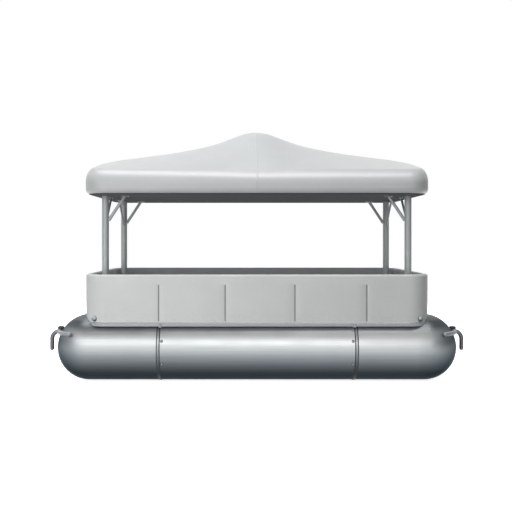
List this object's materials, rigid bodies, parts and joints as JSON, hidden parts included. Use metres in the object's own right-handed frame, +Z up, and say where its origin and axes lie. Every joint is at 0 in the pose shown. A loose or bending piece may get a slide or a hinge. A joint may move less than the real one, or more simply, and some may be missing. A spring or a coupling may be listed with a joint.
{
  "type": "pontoon boat",
  "caption": "Canopied family pontoon boat: round floats, rounded ring fence with hinged gates, benches, four posts and a peaked fabric canopy.",
  "frame": {"origin": "middle of the length and width, at the height of the strap bottoms, where the boat stands", "axes": "+X to the bow along the length, +Y to port across the boat, +Z up"},
  "size_m": [5.9466, 2.6826, 3.6659],
  "materials": {
    "float_aluminium": "satin",
    "strap_steel": "satin",
    "hook_steel": "satin",
    "beam_aluminium": "satin",
    "deck_vinyl": "matte",
    "fence_paint": "satin",
    "hinge_steel": "satin",
    "post_aluminium": "satin",
    "canopy_fabric": "matte",
    "liner_fabric": "matte",
    "bench_plastic": "satin",
    "cushion_vinyl": "satin"
  },
  "bodies": {
    "boat": {"bench_base_port": "bench_plastic", "bench_base_starboard": "bench_plastic", "bench_cushion_port": "cushion_vinyl", "bench_cushion_starboard": "cushion_vinyl", "braces_port_bow": "post_aluminium", "braces_port_stern": "post_aluminium", "braces_starboard_bow": "post_aluminium", "braces_starboard_stern": "post_aluminium", "canopy_cover": "canopy_fabric", "canopy_liner": "liner_fabric", "cross_beam_1": "beam_aluminium", "cross_beam_2": "beam_aluminium", "cross_beam_3": "beam_aluminium", "cross_beam_4": "beam_aluminium", "cross_beam_5": "beam_aluminium", "deck": "deck_vinyl", "fence_corner_port_bow": "fence_paint", "fence_corner_port_stern": "fence_paint", "fence_corner_starboard_bow": "fence_paint", "fence_corner_starboard_stern": "fence_paint", "fence_side_port_1": "fence_paint", "fence_side_port_2": "fence_paint", "fence_side_port_3": "fence_paint", "fence_side_starboard_1": "fence_paint", "fence_side_starboard_2": "fence_paint", "fence_side_starboard_3": "fence_paint", "gate_hinge_bow": "hinge_steel", "gate_hinge_stern": "hinge_steel", "mooring_hook_port_bow": "hook_steel", "mooring_hook_port_stern": "hook_steel", "mooring_hook_starboard_bow": "hook_steel", "mooring_hook_starboard_stern": "hook_steel", "port_float": "float_aluminium", "post_port_bow": "post_aluminium", "post_port_stern": "post_aluminium", "post_starboard_bow": "post_aluminium", "post_starboard_stern": "post_aluminium", "starboard_float": "float_aluminium", "strap_port_bow": "strap_steel", "strap_port_stern": "strap_steel", "strap_starboard_bow": "strap_steel", "strap_starboard_stern": "strap_steel", "threshold_bow": "fence_paint", "threshold_stern": "fence_paint"},
    "bow_gate": {"gate_bow": "fence_paint", "gate_latch_bow": "hinge_steel"},
    "stern_gate": {"gate_stern": "fence_paint", "gate_latch_stern": "hinge_steel"}
  },
  "joints": [
    {"name": "bow_gate_swing", "type": "hinge", "parent": "boat", "child": "bow_gate", "pos_m": [2.343, 0.397, 1.25], "axis": [0, 0, -1], "range_deg": [0, 95]},
    {"name": "stern_gate_swing", "type": "hinge", "parent": "boat", "child": "stern_gate", "pos_m": [-2.343, -0.397, 1.25], "axis": [0, 0, -1], "range_deg": [0, 95]}
  ]
}
